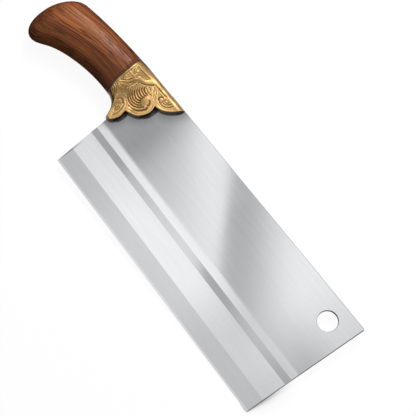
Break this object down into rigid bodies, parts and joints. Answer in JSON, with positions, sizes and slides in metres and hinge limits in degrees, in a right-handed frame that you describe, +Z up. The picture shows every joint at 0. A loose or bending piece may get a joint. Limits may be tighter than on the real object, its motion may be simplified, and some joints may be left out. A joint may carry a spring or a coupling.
{
  "type": "chinese cleaver",
  "caption": "Broad rectangular kitchen cleaver with ground bevels, a hanging hole, a scalloped cast bolster and a curved hardwood handle.",
  "frame": {"origin": "middle of the underside of the box round the whole cleaver, which lies on its side", "axes": "+X along the cutting edge from heel to toe, +Y from the cutting edge to the spine, +Z up, square to the blade's side"},
  "size_m": [0.307, 0.0934, 0.026],
  "materials": {
    "blade_steel": "satin, ground lengthwise in bands",
    "tang_steel": "plain turned rod",
    "bolster_brass": "antique cast, dark in the grooves, polished on the ridges",
    "pin_brass": "filed flush",
    "spacer_fibre": "matt black",
    "bedding_resin": "cured resin",
    "handle_wood": "oiled dark hardwood, satin, dark streaks along the grain"
  },
  "bodies": {
    "root": {"blade": "blade_steel", "tang_rod": "tang_steel", "bolster": "bolster_brass", "bolster_pins": "pin_brass", "fibre_spacer": "spacer_fibre", "tang_bedding": "bedding_resin", "handle": "handle_wood"}
  },
  "joints": []
}
